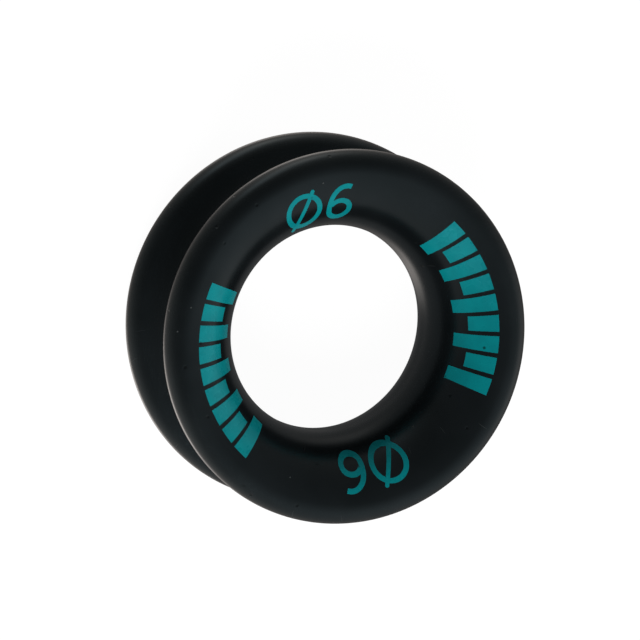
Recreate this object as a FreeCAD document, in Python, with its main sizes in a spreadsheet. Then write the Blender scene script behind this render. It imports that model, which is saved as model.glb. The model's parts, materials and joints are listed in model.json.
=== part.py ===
import FreeCAD, Part

import math
import os

import Sketcher

# Low friction ring: a deck fitting turned in one piece, with no sheave and no bearing.
# A line runs through the flared bore and slides on it, and a strop or lashing lies in
# the round seat outside. The ring lies flat: its axis is Z, z = 0 is its middle plane
# and the origin is the centre of the bore. All lengths are in millimetres.

# Driving dimensions, each with what it means on the ring.
SIZES = {
    "bore_dia": (6.0, "narrowest diameter of the bore"),
    "land_length": (0.33, "straight stretch at the middle of the bore"),
    "flange_height": (2.4, "radial height of the ring, from the bore to its outer edge"),
    "overall_width": (4.7, "width over both rounded lips"),
    "lip_radius": (0.53, "rounding of each lip, between the flare and the rope seat"),
    "waist_wall": (1.0, "metal between the bore and the bottom of the rope seat"),
}

# The section's own lengths, worked out from the driving dimensions.
BORE_RADIUS = "sizes.bore_dia / 2"
WAIST_RADIUS = "sizes.bore_dia / 2 + sizes.waist_wall"
LIP_REACH = "sizes.bore_dia / 2 + sizes.flange_height - sizes.lip_radius"
LIP_HEIGHT = "sizes.overall_width / 2 - sizes.lip_radius"

# A sketch's names for an edge's points, its origin and its x axis.
START, END, CENTRE = 1, 2, 3
ORIGIN = (-1, 1)
X_AXIS = -1


def make_sizes(doc):
    """A sheet with one row for each driving dimension: name, value and meaning."""
    sheet = doc.addObject("Spreadsheet::Sheet", "sizes")
    for row, (name, (value, meaning)) in enumerate(SIZES.items(), start=1):
        sheet.set(f"A{row}", name)
        sheet.set(f"B{row}", str(value))
        sheet.set(f"C{row}", meaning)
        sheet.setAlias(f"B{row}", name)
    doc.recompute()
    return sheet


def arc(x, y, radius, first, last):
    """An arc about (x, y), counterclockwise from one angle to the other, in radians."""
    circle = Part.Circle(FreeCAD.Vector(x, y, 0), FreeCAD.Vector(0, 0, 1), radius)
    return Part.ArcOfCircle(circle, first, last)


def draw_section(sketch, sheet):
    """Draws the ring's section and returns the index of each of its edges.

    x is the distance from the axis and y the height. The flare is the one arc that leaves
    the land upright and runs into the lip from inside it, and the rope seat is the one
    arc through the waist that meets both lips from outside them. Neither has a size of its
    own: with the lip's centre known, the rule of Pythagoras on the line between the two
    centres gives each radius.
    """
    bore = sketch.evalExpression(BORE_RADIUS)
    waist = sketch.evalExpression(WAIST_RADIUS)
    lip_x = sketch.evalExpression(LIP_REACH)
    lip_y = sketch.evalExpression(LIP_HEIGHT)
    land, lip = sheet.land_length / 2, sheet.lip_radius

    reach, rise = lip_x - bore, lip_y - land
    flare = (reach**2 + rise**2 - lip**2) / (2 * (reach - lip))
    flare_x = bore + flare
    flare_end = math.atan2(rise, lip_x - flare_x)

    drop = lip_x - waist
    seat = (drop**2 + lip_y**2 - lip**2) / (2 * (drop + lip))
    seat_x = waist + seat
    seat_end = math.atan2(lip_y, lip_x - seat_x)

    low, high = FreeCAD.Vector(bore, -land, 0), FreeCAD.Vector(bore, land, 0)
    outline = {
        "land": Part.LineSegment(low, high),
        "upper_flare": arc(flare_x, land, flare, flare_end, math.pi),
        "upper_lip": arc(lip_x, lip_y, lip, seat_end - math.pi, flare_end),
        "rope_seat": arc(seat_x, 0, seat, seat_end, -seat_end),
        "lower_lip": arc(lip_x, -lip_y, lip, -flare_end, math.pi - seat_end),
        "lower_flare": arc(flare_x, -land, flare, math.pi, -flare_end),
    }
    edges = {name: sketch.addGeometry(shape, False) for name, shape in outline.items()}
    waist_mark = Part.Point(FreeCAD.Vector(waist, 0, 0))
    edges["waist_mark"] = sketch.addGeometry(waist_mark, True)
    return edges


def join_smoothly(sketch, edge):
    """Makes each edge of the section run into the next with no corner."""
    joints = [
        ("land", END, "upper_flare", END),
        ("upper_flare", START, "upper_lip", END),
        ("upper_lip", START, "rope_seat", START),
        ("rope_seat", END, "lower_lip", END),
        ("lower_lip", START, "lower_flare", END),
        ("lower_flare", START, "land", START),
    ]
    for one, one_end, other, other_end in joints:
        ends = (edge[one], one_end, edge[other], other_end)
        sketch.addConstraint(Sketcher.Constraint("Tangent", *ends))


def make_even(sketch, edge):
    """Makes the section the same above and below the ring's middle plane."""
    pairs = [("land", START, "land", END), ("upper_lip", CENTRE, "lower_lip", CENTRE)]
    for one, one_point, other, other_point in pairs:
        points = (edge[one], one_point, edge[other], other_point)
        sketch.addConstraint(Sketcher.Constraint("Symmetric", *points, X_AXIS))
    lips = (edge["upper_lip"], edge["lower_lip"])
    sketch.addConstraint(Sketcher.Constraint("Equal", *lips))


def give_sizes(sketch, edge):
    """Binds the section to the sheet. The waist mark is the seat's point at z = 0."""
    mark, land, lip = edge["waist_mark"], edge["land"], edge["upper_lip"]
    for line in (edge["rope_seat"], X_AXIS):
        sketch.addConstraint(Sketcher.Constraint("PointOnObject", mark, START, line))

    sized = [
        ("bore_radius", "DistanceX", (*ORIGIN, land, START), BORE_RADIUS),
        ("land_length", "DistanceY", (land, START, land, END), "sizes.land_length"),
        ("lip_radius", "Radius", (lip,), "sizes.lip_radius"),
        ("lip_reach", "DistanceX", (*ORIGIN, lip, CENTRE), LIP_REACH),
        ("lip_height", "DistanceY", (*ORIGIN, lip, CENTRE), LIP_HEIGHT),
        ("waist_radius", "DistanceX", (*ORIGIN, mark, START), WAIST_RADIUS),
    ]
    for name, kind, places, expression in sized:
        value = sketch.evalExpression(expression)
        index = sketch.addConstraint(Sketcher.Constraint(kind, *places, value))
        sketch.renameConstraint(index, name)
        sketch.setExpression(f"Constraints.{name}", expression)


def make_ring(doc, sheet):
    """The whole ring: its section turned a full circle about the bore's axis."""
    body = doc.addObject("PartDesign::Body", "ring_body")
    body.Label = "ring"
    upright = next(f for f in body.Origin.OriginFeatures if f.Role == "XZ_Plane")
    section = body.newObject("Sketcher::SketchObject", "ring_section")
    section.AttachmentSupport = [(upright, "")]
    section.MapMode = "FlatFace"
    doc.recompute()

    edge = draw_section(section, sheet)
    join_smoothly(section, edge)
    make_even(section, edge)
    give_sizes(section, edge)
    doc.recompute()

    turned = body.newObject("PartDesign::Revolution", "turned_ring")
    turned.Profile = (section, [""])
    turned.ReferenceAxis = (section, ["V_Axis"])
    turned.Angle = 360
    body.Placement = FreeCAD.Placement()
    doc.recompute()
    return body


def check(doc, bodies):
    """Stops when an object failed to compute, or a sub-part isn't one valid solid."""
    for item in doc.Objects:
        if "Invalid" in item.State or "Error" in item.State:
            raise RuntimeError(f"{item.Label} failed: {item.State}")
    for body in bodies:
        shape = body.Shape
        if shape.isNull() or not shape.isValid() or len(shape.Solids) != 1:
            raise RuntimeError(f"{body.Label} isn't one valid solid")


doc = FreeCAD.newDocument("low_friction_ring")
bodies = [make_ring(doc, make_sizes(doc))]
check(doc, bodies)

os.makedirs("parts", exist_ok=True)
for body in bodies:
    box = body.Shape.optimalBoundingBox()
    print(f"{body.Label}: {box.XLength:.3f} x {box.YLength:.3f} x {box.ZLength:.3f} mm")
    body.Shape.exportStep(f"parts/{body.Label}.step")
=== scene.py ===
# %% [markdown]
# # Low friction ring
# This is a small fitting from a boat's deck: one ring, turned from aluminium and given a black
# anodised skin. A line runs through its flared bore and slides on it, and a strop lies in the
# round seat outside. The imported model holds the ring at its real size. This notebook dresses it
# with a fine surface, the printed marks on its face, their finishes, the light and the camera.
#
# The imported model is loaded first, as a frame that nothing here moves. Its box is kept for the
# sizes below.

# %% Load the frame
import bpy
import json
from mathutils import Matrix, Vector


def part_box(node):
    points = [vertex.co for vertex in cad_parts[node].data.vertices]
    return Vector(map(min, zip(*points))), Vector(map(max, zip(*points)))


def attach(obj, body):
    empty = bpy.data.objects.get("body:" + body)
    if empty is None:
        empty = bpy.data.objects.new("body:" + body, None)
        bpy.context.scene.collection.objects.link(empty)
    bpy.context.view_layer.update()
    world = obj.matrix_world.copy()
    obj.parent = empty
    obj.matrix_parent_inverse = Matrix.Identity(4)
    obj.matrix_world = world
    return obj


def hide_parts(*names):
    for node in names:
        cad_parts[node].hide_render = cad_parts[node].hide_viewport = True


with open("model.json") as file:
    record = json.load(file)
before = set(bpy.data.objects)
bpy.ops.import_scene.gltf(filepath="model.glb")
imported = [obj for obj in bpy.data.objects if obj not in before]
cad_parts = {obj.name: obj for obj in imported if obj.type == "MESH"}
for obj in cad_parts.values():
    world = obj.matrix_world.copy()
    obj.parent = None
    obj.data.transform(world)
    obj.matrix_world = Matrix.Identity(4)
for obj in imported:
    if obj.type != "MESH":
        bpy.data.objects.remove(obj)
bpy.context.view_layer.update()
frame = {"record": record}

# %% [markdown]
# ## The ring's sizes
# A ring like this is drawn from a handful of sizes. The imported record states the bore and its
# straight land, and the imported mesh's box gives the rim and the width. Its nearest side is taken,
# so that the fine ring stays inside the box all round. The rounding of the lips and the wall at
# the waist are written here. The two other curves have no size of their own: the flare leaves the
# land upright and runs into the lip, and the rope seat passes through the waist and meets both
# lips. With the lip's centre known, the rule of Pythagoras on the line between the two centres
# gives each radius.

# %% Read the sizes
import json
import math

import bpy
import numpy as np
from mathutils import Matrix, Vector

MM = 0.001
LIP_RADIUS = 0.53 * MM
WAIST_WALL = 1.0 * MM

bore_mount = next(mount for mount in frame["record"]["mounts"] if mount["name"] == "bore")
bore_radius = bore_mount["dims"]["r_mm"] * MM
land_half = bore_mount["dims"]["length_mm"] * MM / 2
low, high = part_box("ring")
rim_radius = min(high.x, high.y, -low.x, -low.y)
half_width = min(high.z, -low.z)

lip_reach, lip_height = rim_radius - LIP_RADIUS, half_width - LIP_RADIUS
reach, rise = lip_reach - bore_radius, lip_height - land_half
flare_radius = (reach**2 + rise**2 - LIP_RADIUS**2) / (2 * (reach - LIP_RADIUS))
waist_radius = bore_radius + WAIST_WALL
drop = lip_reach - waist_radius
seat_radius = (drop**2 + lip_height**2 - LIP_RADIUS**2) / (2 * (drop + LIP_RADIUS))

flare_centre = (bore_radius + flare_radius, land_half)
lip_centre = (lip_reach, lip_height)
seat_centre = (waist_radius + seat_radius, 0.0)
print(f"rim {rim_radius / MM:.3f} mm, half width {half_width / MM:.3f} mm")
print(f"flare radius {flare_radius / MM:.3f} mm, seat radius {seat_radius / MM:.3f} mm")

# %% [markdown]
# ## The ring's section
# The section is six smooth stretches: the land, two flares, two lips and the rope seat. A bevelled
# curve or a Screw modifier could turn it, but then the spacing of the points is hard to control.
# Here each stretch is a run of points worked out with numpy, so that the tight lips get as many as
# the long flares and a highlight runs over them with no facet.

# %% Work out the section
FLARE_STEPS, LIP_STEPS, SEAT_STEPS, LAND_STEPS = 46, 42, 50, 4


def arc(centre, radius, first, last, steps):
    """Points on a circle: the centre plus the radius, turned evenly from one angle to the other.

    The last point is left out, because the next stretch begins there.
    """
    angle = np.linspace(first, last, steps, endpoint=False)
    return np.column_stack((centre[0] + radius * np.cos(angle), centre[1] + radius * np.sin(angle)))


def mirrored(points):
    """The same run of points below the middle plane, in the opposite order."""
    return points[::-1] * (1, -1)


flare_end = math.atan2(lip_centre[1] - flare_centre[1], lip_centre[0] - flare_centre[0])
seat_start = math.atan2(lip_centre[1], lip_centre[0] - seat_centre[0])
half_seat = arc(seat_centre, seat_radius, seat_start, math.pi, SEAT_STEPS // 2)
upper = np.vstack((
    arc(flare_centre, flare_radius, math.pi, flare_end, FLARE_STEPS),
    arc(lip_centre, LIP_RADIUS, flare_end, seat_start - math.pi, LIP_STEPS),
    half_seat,
))
waist_point = [(waist_radius, 0.0)]
land = np.linspace((bore_radius, -land_half), (bore_radius, land_half), LAND_STEPS)[1:-1]
section = np.vstack((upper, waist_point, mirrored(upper), land))
print("section points", len(section))

# %% [markdown]
# ## The turned ring
# The real ring is turned on a lathe, so its surface is the section carried once round the axis:
# a point's place depends on how far along the section it is and how far round the ring. Both
# directions close on themselves, so the mesh has no seam and no pole. The same helper puts every
# grid of points in this notebook into a mesh, with whole arrays and no loop over the vertices.

# %% Put grids of points into meshes
SHARP_ABOVE = math.radians(40)


def grid_faces(rows, columns, closed_rows, closed_columns):
    """Four corners for each cell of a grid: a point, the next row's, that one's neighbour, its own.

    With the rows as they run over the upper face outwards and the columns counterclockwise, the
    faces point outwards. A closed direction has a last cell that goes back to the first points.
    """
    row = np.arange(rows if closed_rows else rows - 1)[:, None]
    column = np.arange(columns if closed_columns else columns - 1)[None, :]
    next_row, next_column = (row + 1) % rows, (column + 1) % columns
    corners = (
        row * columns + column,
        next_row * columns + column,
        next_row * columns + next_column,
        row * columns + next_column,
    )
    return np.stack(corners, axis=-1).reshape(-1, 4)


def make_piece(name, points, faces):
    """A smooth mesh object at the origin, from an array of points and an array of four-sided faces."""
    mesh = bpy.data.meshes.new(name)
    mesh.vertices.add(len(points))
    mesh.vertices.foreach_set("co", np.asarray(points, np.float32).ravel())
    mesh.loops.add(faces.size)
    mesh.loops.foreach_set("vertex_index", faces.astype(np.int32).ravel())
    mesh.polygons.add(len(faces))
    mesh.polygons.foreach_set("loop_start", np.arange(0, faces.size, 4, dtype=np.int32))
    mesh.update(calc_edges=True)
    mesh.shade_smooth()
    mesh.set_sharp_from_angle(angle=SHARP_ABOVE)
    piece = bpy.data.objects.new(name, mesh)
    bpy.context.scene.collection.objects.link(piece)
    print(f"{name}: {len(points)} points, {2 * len(faces)} triangles")
    return piece


# %% Turn the section
TURN_STEPS = 396

turn = np.arange(TURN_STEPS) * math.tau / TURN_STEPS
across, along = section[:, :1], section[:, 1:]
surface = np.stack(
    np.broadcast_arrays(across * np.cos(turn), across * np.sin(turn), along), axis=-1
)
turned_faces = grid_faces(len(section), TURN_STEPS, True, True)
turned_ring = make_piece("turned_ring", surface.reshape(-1, 3), turned_faces)
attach(turned_ring, "root")
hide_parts("ring")

# %% [markdown]
# ## Marks that follow the flare
# The marks on the face are printed straight down the axis, so they keep their true shape when the
# ring is seen from above and stretch down the slope of the flare. A picture in the material could
# hold them, but their edges would blur close by. Here each mark is a real film of print, a few
# thousandths of a millimetre thick: it is drawn flat, then every point is dropped onto the flare
# and moved along the flare's normal.

# %% Drop flat drawings onto the flare
FILM = 0.004 * MM


def on_flare(flat, lift):
    """Points above the flare: each flat point at the flare's height there, plus lift along its normal.

    In the section the flare is a circle, so its height is the centre's plus the root of the radius
    squared less the distance squared, and its normal is the way from the centre to the point.
    """
    distance = np.linalg.norm(flat, axis=-1)
    outward = flat / distance[..., None]
    offset = distance - flare_centre[0]
    height = np.sqrt(flare_radius**2 - offset**2)
    slope = (offset / flare_radius)[..., None] * outward
    normal = np.concatenate((slope, (height / flare_radius)[..., None]), axis=-1)
    foot = np.concatenate((flat, (flare_centre[1] + height)[..., None]), axis=-1)
    return foot + np.asarray(lift)[..., None] * normal


def film(flat, lift, closed):
    """A closed film of print over a grid of flat points, as points and faces.

    Each row of the grid becomes a loop: forward over the top at the given lift, and back under it,
    as deep in the ring. The loops are carried along the rows, and an open film gets two end caps.
    """
    rows, half = flat.shape[:2]
    loops = np.concatenate((on_flare(flat, lift), on_flare(flat, -lift)[:, ::-1]), axis=1)
    faces = grid_faces(rows, 2 * half, closed, True)
    if not closed:
        across_cap = np.arange(half - 1)
        cap = np.stack((across_cap, across_cap + 1), axis=1)
        cap = np.concatenate((cap, (2 * half - 1 - cap)[:, ::-1]), axis=1)
        faces = np.concatenate((faces, cap[:, ::-1], cap + (rows - 1) * 2 * half))
    return loops.reshape(-1, 3), faces


def join(parts):
    """Several pairs of points and faces as one pair."""
    starts = np.cumsum([0] + [len(points) for points, _ in parts[:-1]])
    points = np.concatenate([points for points, _ in parts])
    faces = np.concatenate([faces + start for (_, faces), start in zip(parts, starts)])
    return points, faces


# %% [markdown]
# ## The size mark
# A diameter sign and a plain figure 6 stand twice on the face, half a turn apart. Lettering like
# this is a pen stroke of one width, so each sign is a path with a ribbon carried along it: the
# path is made of ellipses, and the ribbon reaches half its width to both sides. Blender's text
# object would need a font file, and its letters are flat. Where two strokes cross, one is a
# little thicker, so that their tops don't lie in the same plane.

# %% Carry a ribbon along a path
STROKE_COLUMNS = 5
MOST_MISSING = 0.995


def ellipse(centre, half, first, last, steps):
    """Points on an ellipse: the centre plus its half widths times the cosine and sine of the angle."""
    angle = np.linspace(first, last, steps)
    return centre + half * np.column_stack((np.cos(angle), np.sin(angle)))


def ribbon(path, width, lift, closed=False, round_ends=False):
    """A ribbon of print along a flat path: each row reaches to both sides, square to the path.

    A round end narrows the ribbon as a half circle does: the half width there is the root of its
    square less the square of what is missing to a full half width from the end. The share that
    is missing stops just short of 1, so that the last row keeps some width.
    """
    if closed:
        ahead, behind = np.roll(path, -1, 0), np.roll(path, 1, 0)
    else:
        ahead, behind = np.vstack((path[1:], path[-1:])), np.vstack((path[:1], path[:-1]))
    heading = ahead - behind
    heading /= np.linalg.norm(heading, axis=1, keepdims=True)
    side = np.column_stack((-heading[:, 1], heading[:, 0]))
    half = np.full(len(path), width / 2)
    if round_ends:
        steps = np.linalg.norm(np.diff(path, axis=0), axis=1)
        run = np.concatenate(([0], np.cumsum(steps)))
        from_end = np.minimum(run, run[-1] - run)
        missing = np.clip(1 - from_end / half, 0, MOST_MISSING)
        half = half * np.sqrt(1 - missing**2)
    reach = np.linspace(1, -1, STROKE_COLUMNS)
    flat = path[:, None, :] + reach[None, :, None] * half[:, None, None] * side[:, None, :]
    return flat, np.broadcast_to(np.reshape(lift, (-1, 1)), flat.shape[:2]), closed


def turned(flat, angle):
    """Flat points turned about the axis."""
    cos, sin = math.cos(angle), math.sin(angle)
    return flat @ np.array(((cos, sin), (-sin, cos)))


# %% Draw the diameter sign and the figure
STROKE, SLASH_STROKE = 0.15 * MM, 0.12 * MM
THICKER = 1.5
CURVE_STEPS, SLASH_STEPS, STEM_STEPS = 97, 73, 49
SIGN_CENTRE, SIGN_RADIUS = np.array((-0.55, 3.855)) * MM, 0.485 * MM
SLASH_HALF, SLASH_LEAN = 0.69 * MM, math.radians(65.5)
STEM_CENTRE, STEM_HALF = np.array((0.70, 3.72)) * MM, np.array((0.47, 0.625)) * MM
BOWL_CENTRE, BOWL_HALF = np.array((0.525, 3.665)) * MM, np.array((0.295, 0.265)) * MM
STEM_START, BOWL_END = math.radians(66), math.radians(180 + 325)

circle = ellipse(SIGN_CENTRE, SIGN_RADIUS, 0, math.tau, CURVE_STEPS)[:-1]
slash_end = SLASH_HALF * np.array((math.cos(SLASH_LEAN), math.sin(SLASH_LEAN)))
slash = np.linspace(SIGN_CENTRE - slash_end, SIGN_CENTRE + slash_end, SLASH_STEPS)
stem = ellipse(STEM_CENTRE, STEM_HALF, STEM_START, math.pi, STEM_STEPS)
bowl = ellipse(BOWL_CENTRE, BOWL_HALF, math.pi, BOWL_END, CURVE_STEPS)
figure = np.vstack((stem, bowl))
strokes = [
    ribbon(circle, STROKE, FILM, closed=True),
    ribbon(slash, SLASH_STROKE, THICKER * FILM, round_ends=True),
    ribbon(figure, STROKE, FILM * np.linspace(1, THICKER, len(figure))),
]
print(len(strokes), "strokes of", ", ".join(f"{len(flat)} rows" for flat, _, _ in strokes))

# %% Print the size mark twice
MARK_TURNS = {"size_mark_1": 0.0, "size_mark_2": math.pi}

marks = []
for name, angle in MARK_TURNS.items():
    films = [film(turned(flat, angle), lift, closed) for flat, lift, closed in strokes]
    marks.append(make_piece(name, *join(films)))

# %% [markdown]
# ## The scale bands
# Between the size marks the face carries two bold bands of the same print. Each is a plain scale,
# like a dial's: a row of broad radial bars with thin gaps, every other one shorter. A bar is a
# grid of two parameters, the angle and the distance from the axis, and the print helper drapes it
# as it does the strokes.

# %% Print the scale bands
BAR_COUNT = 9
BAR_PITCH = math.radians(8.0)
BAR_WIDTH = math.radians(6.3)
BAR_OUTER = 4.50 * MM
BAR_INNER_LONG, BAR_INNER_SHORT = 3.41 * MM, 3.72 * MM
BAR_ROWS, BAR_COLUMNS = 13, 25
BAND_TURNS = {"scale_band_1": 0.0, "scale_band_2": math.pi}


def bar(middle, inner):
    """A bar's flat points: every angle across the bar, at every distance from the axis along it."""
    angle = np.linspace(middle - BAR_WIDTH / 2, middle + BAR_WIDTH / 2, BAR_ROWS)[:, None]
    distance = np.linspace(BAR_OUTER, inner, BAR_COLUMNS)[None, :]
    return np.stack(np.broadcast_arrays(distance * np.cos(angle), distance * np.sin(angle)), axis=-1)


for name, middle in BAND_TURNS.items():
    films = []
    for number in range(BAR_COUNT):
        inner = BAR_INNER_SHORT if number % 2 else BAR_INNER_LONG
        flat = bar(middle + (number - (BAR_COUNT - 1) / 2) * BAR_PITCH, inner)
        films.append(film(flat, np.full(flat.shape[:2], FILM), False))
    marks.append(make_piece(name, *join(films)))

for mark in marks:
    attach(mark, "root")

# %% [markdown]
# ## Helpers for finishes
# A finish in Blender is a tree of shader nodes. Building one in Python takes three lines a node,
# which hides what the finish does. These helpers make a node, set it and link it in one call, so
# that each finish below reads as a recipe. A socket given as a value is linked, and a plain number
# or colour is set.

# %% Helpers for nodes
def node(tree, kind, inputs=None, **settings):
    """Adds a node, sets its properties and fills its sockets: a value is set, a socket is linked."""
    made = tree.nodes.new(kind)
    for key, value in settings.items():
        setattr(made, key, value)
    for key, value in (inputs or {}).items():
        if isinstance(value, bpy.types.NodeSocket):
            tree.links.new(value, made.inputs[key])
        else:
            made.inputs[key].default_value = value
    return made


def maths(tree, operation, *values):
    """The result of a Math node, from numbers or sockets in the order that the operation takes."""
    return node(tree, "ShaderNodeMath", dict(enumerate(values)), operation=operation).outputs[0]


def remap(tree, value, start, end, first, last):
    """A smooth step: the first amount up to the start, the last one from the end on."""
    ends = {"Value": value, "From Min": start, "From Max": end, "To Min": first, "To Max": last}
    made = node(tree, "ShaderNodeMapRange", ends, interpolation_type="SMOOTHSTEP")
    return made.outputs["Result"]


def blend(tree, amount, first, second):
    """A colour between two others: the first where the amount is 0, the second where it is 1.

    A Mix node has a pair of sockets for each kind of value. The pair for colours is 6 and 7, and
    their mix comes out at 2.
    """
    made = node(tree, "ShaderNodeMix", {"Factor": amount}, data_type="RGBA")
    colour_sockets = [made.inputs[6], made.inputs[7]]
    for socket, value in zip(colour_sockets, (first, second)):
        if isinstance(value, bpy.types.NodeSocket):
            tree.links.new(value, socket)
        else:
            socket.default_value = value
    return made.outputs[2]


# %% [markdown]
# ## Shared effects
# Some effects show on the bare skin and on the print alike: the faint circles that a lathe leaves,
# a slow unevenness of the surface, and small flecks such as dust, pits and scratches. Each could
# be drawn again in every finish, but then the copies drift apart. A node group is built once, has
# named inputs and outputs, and is placed in each finish with its own values. All of them read
# Object coordinates, which are metres from the centre of the ring, so a size is a real size.

# %% Start a node group
def start_group(name, inputs, outputs):
    """A new node group with named sockets, as its tree and its inner input and output nodes."""
    group = bpy.data.node_groups.new(name, "ShaderNodeTree")
    for side, sockets in (("INPUT", inputs), ("OUTPUT", outputs)):
        for label, kind in sockets.items():
            group.interface.new_socket(label, in_out=side, socket_type=f"NodeSocket{kind}")
    print("node group", name, list(inputs), "to", list(outputs))
    return group, node(group, "NodeGroupInput").outputs, node(group, "NodeGroupOutput").inputs


def place(tree, group, inputs):
    """A finished group, placed in a tree with its inputs by name, as its outputs."""
    return node(tree, "ShaderNodeGroup", inputs, node_tree=group).outputs


# %% [markdown]
# ### Turned grain
# A lathe leaves circles about the axis, as fine as a hair or finer. Noise gives them if it changes
# fast with the distance from the axis and with the height, and hardly at all on the way round. The
# slow change round the ring comes from x and y themselves, and not from the angle, so the circles
# meet with no seam.

# %% Group: turned grain
def make_turned_grain():
    """Height of the grain: noise at (distance / pitch, height / pitch), drifting with x and y."""
    group, given, result = start_group(
        "turned_grain", {"Vector": "Vector", "Pitch": "Float", "Drift": "Float"}, {"Height": "Float"}
    )
    split = node(group, "ShaderNodeSeparateXYZ", {"Vector": given["Vector"]}).outputs
    flat = node(group, "ShaderNodeCombineXYZ", {"X": split["X"], "Y": split["Y"]}).outputs[0]
    distance = node(group, "ShaderNodeVectorMath", {0: flat}, operation="LENGTH").outputs["Value"]
    axes = {
        "X": maths(group, "DIVIDE", distance, given["Pitch"]),
        "Y": maths(group, "DIVIDE", split["Z"], given["Pitch"]),
        "Z": maths(group, "DIVIDE", split["X"], given["Drift"]),
    }
    circles = node(
        group, "ShaderNodeTexNoise",
        {"Vector": node(group, "ShaderNodeCombineXYZ", axes).outputs[0],
         "W": maths(group, "DIVIDE", split["Y"], given["Drift"]), "Scale": 1.0, "Detail": 3.0},
        noise_dimensions="4D",
    )
    group.links.new(circles.outputs["Fac"], result["Height"])
    return group


turned_grain = make_turned_grain()

# %% [markdown]
# ### Mottle
# Neither the dye nor the print is quite even. Both drift in strength over a millimetre or less, and
# so does their gloss. Noise drifts so, but stays close to a half, so a smooth step around a half
# leads it all the way from 0 to 1.

# %% Group: mottle
def make_mottle():
    """Amount: a smooth step of noise, 0 at a half less the spread and 1 at a half plus the spread."""
    group, given, result = start_group(
        "mottle", {"Vector": "Vector", "Size": "Float", "Spread": "Float"}, {"Amount": "Float"}
    )
    scale = maths(group, "DIVIDE", 1.0, given["Size"])
    patches = {"Vector": given["Vector"], "Scale": scale, "Detail": 2.0}
    noise = node(group, "ShaderNodeTexNoise", patches).outputs["Fac"]
    start = maths(group, "SUBTRACT", 0.5, given["Spread"])
    end = maths(group, "ADD", 0.5, given["Spread"])
    group.links.new(remap(group, noise, start, end, 0.0, 1.0), result["Amount"])
    return group


mottle = make_mottle()

# %% [markdown]
# ### Flecks
# Dust, pits and scratches are one effect at different sizes. Space is divided into cells with a
# random point in each, and a fleck is what lies close to that point, in only a share of the cells.
# Cells that are long in one direction make the flecks long too, and then they are scratches.

# %% Group: flecks
def make_flecks():
    """Mask of the flecks: 1 near the point of a chosen cell, 0 past the size, as a share of a cell."""
    group, given, result = start_group(
        "flecks", {"Vector": "Vector", "Cell": "Vector", "Size": "Float", "Share": "Float"},
        {"Mask": "Float"},
    )
    cells = node(
        group, "ShaderNodeVectorMath", {0: given["Vector"], 1: given["Cell"]}, operation="DIVIDE"
    )
    points = node(group, "ShaderNodeTexVoronoi", {"Vector": cells.outputs[0], "Scale": 1.0})
    near = remap(
        group, maths(group, "DIVIDE", points.outputs["Distance"], given["Size"]), 0.5, 1.0, 1.0, 0.0
    )
    lot = node(group, "ShaderNodeSeparateColor", {"Color": points.outputs["Color"]}).outputs["Red"]
    chosen = maths(group, "LESS_THAN", lot, given["Share"])
    group.links.new(maths(group, "MULTIPLY", near, chosen), result["Mask"])
    return group


flecks = make_flecks()

# %% [markdown]
# ### Round the ring
# Scratches run across the lips and the seat, so they need coordinates that follow the ring: how far
# round, how far out and how high. The angle times a radius gives metres, as the two others are.

# %% Group: round the ring
def make_round_the_ring():
    """Position as (angle times the radius, distance from the axis, height), all in metres."""
    group, given, result = start_group(
        "round_the_ring", {"Vector": "Vector", "Radius": "Float"}, {"Position": "Vector"}
    )
    split = node(group, "ShaderNodeSeparateXYZ", {"Vector": given["Vector"]}).outputs
    flat = node(group, "ShaderNodeCombineXYZ", {"X": split["X"], "Y": split["Y"]}).outputs[0]
    distance = node(group, "ShaderNodeVectorMath", {0: flat}, operation="LENGTH").outputs["Value"]
    angle = maths(group, "ARCTAN2", split["Y"], split["X"])
    axes = {"X": maths(group, "MULTIPLY", angle, given["Radius"]), "Y": distance, "Z": split["Z"]}
    group.links.new(node(group, "ShaderNodeCombineXYZ", axes).outputs[0], result["Position"])
    return group


round_the_ring = make_round_the_ring()

# %% [markdown]
# ### Handling marks
# What lies on the whole ring, skin and print alike, is put together once: pale dust, small pits and
# fine scratches. Each finish decides how strongly they change its colour, its roughness and its
# height.

# %% Group: handling marks
DUST_CELL, DUST_SIZE, DUST_SHARE = 0.5 * MM, 0.06, 0.20
PIT_CELL, PIT_SIZE, PIT_SHARE = 0.6 * MM, 0.10, 0.55
PIT_SHIFT = 0.37 * MM
SCRATCH_WIDTH_CELL, SCRATCH_LENGTH_CELL = 0.10 * MM, 1.6 * MM
SCRATCH_SIZE, SCRATCH_SHARE, SCRATCH_SLANT = 0.12, 0.10, 0.45


def make_handling_marks():
    """Masks of dust, pits and scratches: pits have shifted cells, and a scratch slants with height."""
    group, given, result = start_group(
        "handling_marks", {"Vector": "Vector"}, {"Dust": "Float", "Pits": "Float", "Scratches": "Float"}
    )
    for label, cell, size, share, shift in (
        ("Dust", DUST_CELL, DUST_SIZE, DUST_SHARE, 0.0),
        ("Pits", PIT_CELL, PIT_SIZE, PIT_SHARE, PIT_SHIFT),
    ):
        moved = node(
            group, "ShaderNodeVectorMath", {0: given["Vector"], 1: (shift,) * 3}, operation="ADD"
        )
        spots = {"Vector": moved.outputs[0], "Cell": (cell,) * 3, "Size": size, "Share": share}
        group.links.new(place(group, flecks, spots)["Mask"], result[label])

    ring = place(group, round_the_ring, {"Vector": given["Vector"], "Radius": lip_reach})
    split = node(group, "ShaderNodeSeparateXYZ", {"Vector": ring["Position"]}).outputs
    slant = maths(group, "MULTIPLY_ADD", split["Z"], SCRATCH_SLANT, split["X"])
    axes = {"X": slant, "Y": split["Y"], "Z": split["Z"]}
    lines = {
        "Vector": node(group, "ShaderNodeCombineXYZ", axes).outputs[0],
        "Cell": (SCRATCH_WIDTH_CELL, SCRATCH_LENGTH_CELL, SCRATCH_LENGTH_CELL),
        "Size": SCRATCH_SIZE, "Share": SCRATCH_SHARE,
    }
    group.links.new(place(group, flecks, lines)["Mask"], result["Scratches"])
    return group


handling_marks = make_handling_marks()

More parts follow.
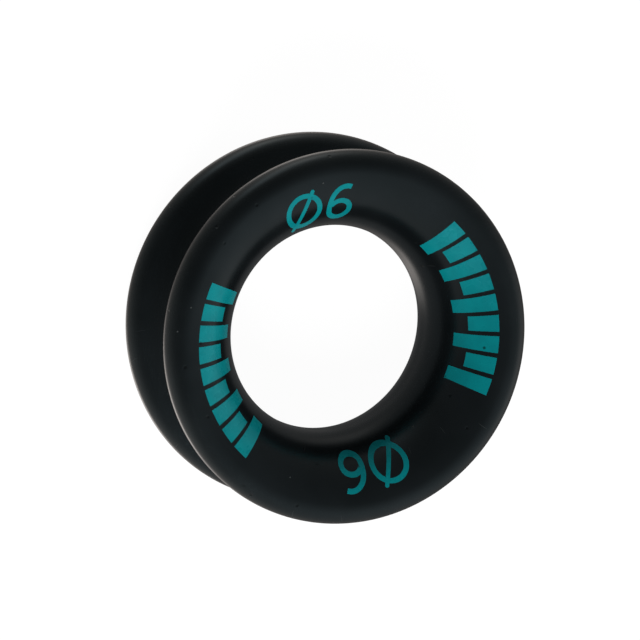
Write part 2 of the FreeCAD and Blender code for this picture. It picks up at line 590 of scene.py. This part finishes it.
# %% [markdown]
# ## Two finishes
# Every finish starts the same way: a material whose Principled shader goes straight to the output.
# The first helper makes that start. Numbers that are the same all over, such as the refraction of
# the skin, are set on the shader's own sockets, and only what changes over the surface is linked.
# The others place what both finishes need: the mottle at a size, the turned grain at its real pitch,
# and a relief whose heights are given in thousandths of a millimetre.

# %% Start a finish
MICRON = 0.001 * MM
GRAIN_PITCH, GRAIN_DRIFT = 0.05 * MM, 2.5 * MM


def start_finish(name, plain):
    """A material with one Principled shader, its plain sockets set, and the Object coordinates."""
    made = bpy.data.materials.new(name)
    made.use_nodes = True
    tree = made.node_tree
    tree.nodes.clear()
    shader = node(tree, "ShaderNodeBsdfPrincipled", plain)
    node(tree, "ShaderNodeOutputMaterial", {"Surface": shader.outputs["BSDF"]})
    return made, tree, shader.inputs, node(tree, "ShaderNodeTexCoord").outputs["Object"]


def drift(tree, place_on, size, spread=0.2):
    """An amount that drifts between 0 and 1 over the surface, in patches about as wide as the size."""
    patches = {"Vector": place_on, "Size": size, "Spread": spread}
    return place(tree, mottle, patches)["Amount"]


def grain_height(tree, place_on):
    """The height of the turned grain at its real pitch, between 0 and 1."""
    sizes = {"Vector": place_on, "Pitch": GRAIN_PITCH, "Drift": GRAIN_DRIFT}
    return place(tree, turned_grain, sizes)["Height"]


def raise_relief(tree, shader, strength, height):
    """Bends the shader's normal by a height in thousandths of a millimetre."""
    relief = node(tree, "ShaderNodeBump", {"Strength": strength, "Distance": MICRON, "Height": height})
    tree.links.new(relief.outputs["Normal"], shader["Normal"])


# %% [markdown]
# ### Black anodised skin
# Anodising grows a clear, hard oxide on the aluminium and a dye fills it. So the skin is nearly
# black below a satin surface with a strong shine at a grazing angle. That is a plain dielectric
# and not a metal: a metal would tint its highlights and lose the bright rim. The oxide refracts
# more than a lacquer does, which gives the refraction, and the dye cools the reflection seen
# head-on, which gives the tint. The pits are deep for their width, so each has a light side and a
# dark side.

# %% Finish: black anodised skin
SKIN_REFRACTION = 1.65
SKIN_TINT = (0.70, 0.92, 1.0, 1)
DEEP_DYE, THIN_DYE = (0.0044, 0.0057, 0.0064, 1), (0.0064, 0.0080, 0.0090, 1)
DUST_COLOUR, PIT_COLOUR = (0.06, 0.065, 0.066, 1), (0.0008, 0.0010, 0.0011, 1)
SCRATCH_COLOUR = (0.024, 0.026, 0.027, 1)
DYE_PATCH, DYE_SPREAD, SATIN_PATCH = 1.6 * MM, 0.15, 0.9 * MM
SATIN, SATIN_DRIFT = 0.235, 0.03
ROUGHER_SCRATCH, ROUGHER_DUST = 0.2, 0.4
SKIN_RELIEF = 1.0
GRAIN_RISE, SCRATCH_RISE, PIT_RISE, DUST_RISE = 0.12, -0.5, -12.0, 3.0


def make_skin():
    """Dyed oxide: uneven black with scratches, pits and dust, and a fine turned grain in its height."""
    made, tree, shader, place_on = start_finish(
        "anodised_skin", {"IOR": SKIN_REFRACTION, "Specular Tint": SKIN_TINT}
    )
    marks_on = place(tree, handling_marks, {"Vector": place_on})
    dye = blend(tree, drift(tree, place_on, DYE_PATCH, DYE_SPREAD), DEEP_DYE, THIN_DYE)
    scratched = blend(tree, marks_on["Scratches"], dye, SCRATCH_COLOUR)
    pitted = blend(tree, marks_on["Pits"], scratched, PIT_COLOUR)
    tree.links.new(blend(tree, marks_on["Dust"], pitted, DUST_COLOUR), shader["Base Color"])

    satin = maths(tree, "MULTIPLY_ADD", drift(tree, place_on, SATIN_PATCH), SATIN_DRIFT, SATIN)
    rough = maths(tree, "MULTIPLY_ADD", marks_on["Scratches"], ROUGHER_SCRATCH, satin)
    rough = maths(tree, "MULTIPLY_ADD", marks_on["Dust"], ROUGHER_DUST, rough)
    tree.links.new(rough, shader["Roughness"])

    height = maths(tree, "MULTIPLY", grain_height(tree, place_on), GRAIN_RISE)
    for label, rise in (("Scratches", SCRATCH_RISE), ("Pits", PIT_RISE), ("Dust", DUST_RISE)):
        height = maths(tree, "MULTIPLY_ADD", marks_on[label], rise, height)
    raise_relief(tree, shader, SKIN_RELIEF, height)
    return made


# %% [markdown]
# ### Teal print
# The marks are as smooth as the skin around them and catch the same light. A beam or a nozzle laid
# the colour in close parallel passes, so it is a little darker between two passes, and its strength
# drifts slowly. Dust and pits go on over it, because they come from the same group as the skin's.

# %% Finish: teal print
PRINT_TINT = (0.25, 0.85, 1.0, 1)
STRONG_TEAL, WEAK_TEAL = (0.002, 0.262, 0.285, 1), (0.002, 0.228, 0.252, 1)
DUSTY_TEAL, CHIPPED_TEAL = (0.10, 0.34, 0.34, 1), (0.003, 0.06, 0.06, 1)
PASS_PITCH, PASS_DEPTH = 0.07 * MM, 0.06
TEAL_PATCH, GLOSS_PATCH = 0.5 * MM, 0.3 * MM
GLOSS, GLOSS_DRIFT, ROUGHER_PRINT_DUST = 0.25, 0.06, 0.3
PRINT_RELIEF, PRINT_PIT_RISE = 0.3, -2.0


def make_print():
    """Teal with fine parallel passes: a sine of x over the pitch darkens it by the depth."""
    made, tree, shader, place_on = start_finish(
        "teal_print", {"IOR": SKIN_REFRACTION, "Specular Tint": PRINT_TINT}
    )
    marks_on = place(tree, handling_marks, {"Vector": place_on})
    x = node(tree, "ShaderNodeSeparateXYZ", {"Vector": place_on}).outputs["X"]
    wave = maths(tree, "SINE", maths(tree, "MULTIPLY", x, math.tau / PASS_PITCH))
    weak = maths(tree, "MULTIPLY_ADD", wave, PASS_DEPTH, drift(tree, place_on, TEAL_PATCH))
    teal = blend(tree, weak, STRONG_TEAL, WEAK_TEAL)
    chipped = blend(tree, marks_on["Pits"], teal, CHIPPED_TEAL)
    tree.links.new(blend(tree, marks_on["Dust"], chipped, DUSTY_TEAL), shader["Base Color"])

    gloss = maths(tree, "MULTIPLY_ADD", drift(tree, place_on, GLOSS_PATCH), GLOSS_DRIFT, GLOSS)
    rough = maths(tree, "MULTIPLY_ADD", marks_on["Dust"], ROUGHER_PRINT_DUST, gloss)
    tree.links.new(rough, shader["Roughness"])
    grain = grain_height(tree, place_on)
    pitted = maths(tree, "MULTIPLY_ADD", marks_on["Pits"], PRINT_PIT_RISE, grain)
    raise_relief(tree, shader, PRINT_RELIEF, pitted)
    return made


# %% Dress the ring and its marks
skin, teal_print = make_skin(), make_print()
turned_ring.data.materials.append(skin)
for mark in marks:
    mark.data.materials.append(teal_print)
print("finishes", [finish.name for finish in (skin, teal_print)])

# %% [markdown]
# ## The floor
# The ring lies on a plain white sheet. A studio lights such a sheet until it is pure white, and
# that would flood a small glossy object with light from below. One Diffuse shader can't be both, so
# the sheet's material asks what kind of ray has met it. The camera sees a sheet that is nearly
# white by itself and only partly lit, so that the ring's soft shadow stays. Soft light is gathered
# from plain pale paper. Only reflections are led further: outside the circle on which the ring
# stands they go on to the lower half of the room, as shadow rays do. Inside it they meet the
# ring's own shade, with one soft opening where some light comes in through the bore.

# %% Lay the floor
FLOOR_HALF, FLOOR_POINTS = 0.5, 3
FLOOR_GLOW, FLOOR_LIT = 0.97, (0.10, 0.10, 0.10, 1)
PAPER = (0.8, 0.8, 0.8, 1)
SHADE_LEVEL = 0.11
OPENING_CENTRE = (1.9 * MM, 0.85 * MM)
OPENING_REACH = 1.9 * MM
OPENING_SHARE = 0.5


def make_floor():
    """A flat sheet just under the ring: a grid of x by y at the height of the lower lip."""
    side = np.linspace(-FLOOR_HALF, FLOOR_HALF, FLOOR_POINTS)
    x, y = np.meshgrid(side, side, indexing="ij")
    points = np.stack((x, y, np.full_like(x, low.z)), axis=-1).reshape(-1, 3)
    sheet = make_piece("floor", points, grid_faces(len(side), len(side), False, False))
    return sheet


def clear_of_the_ring(tree):
    """The share of a reflection that passes: all beyond the lip's circle, some in the opening."""
    place_on = node(tree, "ShaderNodeTexCoord").outputs["Object"]
    centre = {0: place_on, 1: (0.0, 0.0, low.z)}
    distance = node(tree, "ShaderNodeVectorMath", centre, operation="DISTANCE").outputs["Value"]
    outside = maths(tree, "GREATER_THAN", distance, lip_reach)
    to_opening = {0: place_on, 1: (*OPENING_CENTRE, low.z)}
    away = node(tree, "ShaderNodeVectorMath", to_opening, operation="DISTANCE").outputs["Value"]
    opening = remap(tree, away, OPENING_REACH / 3, OPENING_REACH, OPENING_SHARE, 0.0)
    return maths(tree, "MAXIMUM", opening, outside)


def make_paper():
    """A sheet for each kind of ray: white to see, paper for soft light, shade or air to reflect."""
    made = bpy.data.materials.new("white_sheet")
    made.use_nodes = True
    tree = made.node_tree
    tree.nodes.clear()
    ray = node(tree, "ShaderNodeLightPath").outputs

    paper = node(tree, "ShaderNodeBsdfDiffuse", {"Color": PAPER}).outputs["BSDF"]
    glow = node(tree, "ShaderNodeEmission", {"Strength": FLOOR_GLOW}).outputs["Emission"]
    dim = node(tree, "ShaderNodeBsdfDiffuse", {"Color": FLOOR_LIT}).outputs["BSDF"]
    white = node(tree, "ShaderNodeAddShader", {0: glow, 1: dim}).outputs["Shader"]
    shade = node(tree, "ShaderNodeEmission", {"Strength": SHADE_LEVEL}).outputs["Emission"]
    air = node(tree, "ShaderNodeBsdfTransparent").outputs["BSDF"]

    direct = maths(tree, "MAXIMUM", ray["Is Camera Ray"], ray["Is Transmission Ray"])
    reflected = maths(tree, "MAXIMUM", ray["Is Glossy Ray"], ray["Is Shadow Ray"])
    passed = maths(tree, "MULTIPLY", reflected, clear_of_the_ring(tree))
    sheet = paper
    for share, other in ((direct, white), (ray["Is Glossy Ray"], shade), (passed, air)):
        sheet = node(tree, "ShaderNodeMixShader", {0: share, 1: sheet, 2: other}).outputs["Shader"]
    node(tree, "ShaderNodeOutputMaterial", {"Surface": sheet})
    return made


floor = make_floor()
floor.data.materials.append(make_paper())

# %% [markdown]
# ## The room
# A satin black ring shows little of its own colour: what the eye reads as its form is the room
# reflected in it. A photographer builds that room from white cards and dark cloth, and lights the
# sheet brightly in one place and dimly in another. An image of a studio could stand for it, but
# here the room is a sum of soft patches of light, each with a way that it lies, a sharpness, a
# level and a tone. Seen from the ring, a patch fades with the exponent of its sharpness times the
# cosine of the angle away from it, less one. The folds are bright places of the sheet below. The
# camera itself sees white, for the sheet's and the backdrop's sake.

# %% Light the room
ROOM_LIGHT, WHITE = (0.03, 0.03, 0.03), (1, 1, 1, 1)
NEUTRAL, WARM = (1.0, 1.0, 1.0), (1.12, 1.0, 0.93)
ROOM_PATCHES = {
    "sheet_to_the_left": (120, 216, 3, 0.40, WARM),
    "sheet_behind": (120, 72, 3, 0.28, WARM),
    "ceiling": (60, 292, 3, 0.26, NEUTRAL),
    "window_to_the_right": (90, 332, 12, 0.28, WARM),
    "bright_fold": (155, 232, 40, 1.75, WARM),
    "fold_below_and_behind": (155, 55, 40, 0.85, WARM),
    "card_behind": (110, 77, 40, 0.66, WARM),
    "high_card_behind": (95, 96, 40, 0.50, NEUTRAL),
}


def towards(down, around):
    """A way out from the ring: straight up, tipped by one angle and turned about Z by the other."""
    turn_by = Matrix.Rotation(math.radians(around), 3, "Z")
    return turn_by @ Matrix.Rotation(math.radians(down), 3, "Y") @ Vector((0, 0, 1))


def make_room():
    """The world: its plain light plus, for each patch, its light times exp(sharpness * (cos - 1))."""
    world = bpy.data.worlds.new("room")
    world.use_nodes = True
    tree = world.node_tree
    tree.nodes.clear()
    outward = node(tree, "ShaderNodeTexCoord").outputs["Generated"]
    light = ROOM_LIGHT
    for down, around, sharpness, level, tone in ROOM_PATCHES.values():
        centre = {0: outward, 1: towards(down, around)}
        cosine = node(tree, "ShaderNodeVectorMath", centre, operation="DOT_PRODUCT").outputs["Value"]
        amount = maths(tree, "EXPONENT", maths(tree, "MULTIPLY_ADD", cosine, sharpness, -sharpness))
        patch = {0: amount, 1: level * Vector(tone), 2: light}
        light = node(tree, "ShaderNodeVectorMath", patch, operation="MULTIPLY_ADD").outputs["Vector"]
    ray = node(tree, "ShaderNodeLightPath").outputs
    direct = maths(tree, "MAXIMUM", ray["Is Camera Ray"], ray["Is Transmission Ray"])
    backdrop = node(tree, "ShaderNodeBackground", {"Color": blend(tree, direct, light, WHITE)})
    node(tree, "ShaderNodeOutputWorld", {"Surface": backdrop.outputs["Background"]})
    bpy.context.scene.world = world


make_room()
print(len(ROOM_PATCHES), "patches of light")

# %% [markdown]
# ## Lamps
# Colours need more light than gloss does. Two soft lamps bring the marks to a plain level, at
# which their teal renders about as it is written. They are hidden from reflections, because the
# room above already holds every reflection that the skin should show.

# %% Hang the lamps
LAMP_DISTANCE, LAMP_SIZE = 100 * MM, 60 * MM
LAMPS = {"high_lamp": (45, 240, 7.5), "low_lamp": (75, 0, 4.4)}

for name, (down, around, level) in LAMPS.items():
    light = bpy.data.lights.new(name, "AREA")
    light.shape = "SQUARE"
    light.size = LAMP_SIZE
    light.energy = level * math.pi * LAMP_SIZE**2
    lamp = bpy.data.objects.new(name, light)
    lamp.location = towards(down, around) * LAMP_DISTANCE
    lamp.rotation_euler = lamp.location.to_track_quat("Z", "Y").to_euler()
    lamp.visible_glossy = False
    bpy.context.scene.collection.objects.link(lamp)
    print(f"{name}: {light.energy * 1000:.2f} milliwatts")

# %% [markdown]
# ## Camera
# A small object is photographed from well away with a long lens, so that its far lip looks nearly
# as large as its near one. Three turns place such a camera more plainly than a Track To constraint
# would: it starts above the ring and looks straight down. The view is then tilted off the axis and
# turned round it, and the roll sets which way is up in the picture. The last step draws the camera
# back along its own line of sight, and shifts it until the ring lies where the picture has it.

# %% Place the camera
VIEW_TILT = math.radians(20.73)
VIEW_TURN = math.radians(141.0)
VIEW_ROLL = math.radians(-153.48)
RING_RIGHT, RING_DOWN = 0.1402 * MM, 0.1955 * MM
VIEW_DISTANCE = 203.64 * MM
LENS, SENSOR = 399.5, 36.0
CLIP_START, CLIP_END = 0.01, 10.0

camera = bpy.data.objects.new("camera", bpy.data.cameras.new("camera"))
bpy.context.scene.collection.objects.link(camera)
aim = (
    Matrix.Rotation(VIEW_TURN, 4, "Z")
    @ Matrix.Rotation(VIEW_TILT, 4, "Y")
    @ Matrix.Rotation(VIEW_ROLL, 4, "Z")
)
camera.matrix_world = aim @ Matrix.Translation((-RING_RIGHT, RING_DOWN, VIEW_DISTANCE))
camera.data.lens = LENS
camera.data.sensor_width = SENSOR
camera.data.clip_start, camera.data.clip_end = CLIP_START, CLIP_END
bpy.context.scene.camera = camera
bpy.context.scene.view_settings.view_transform = "Standard"
print(f"the view spans {VIEW_DISTANCE * SENSOR / LENS / MM:.2f} mm at the ring")
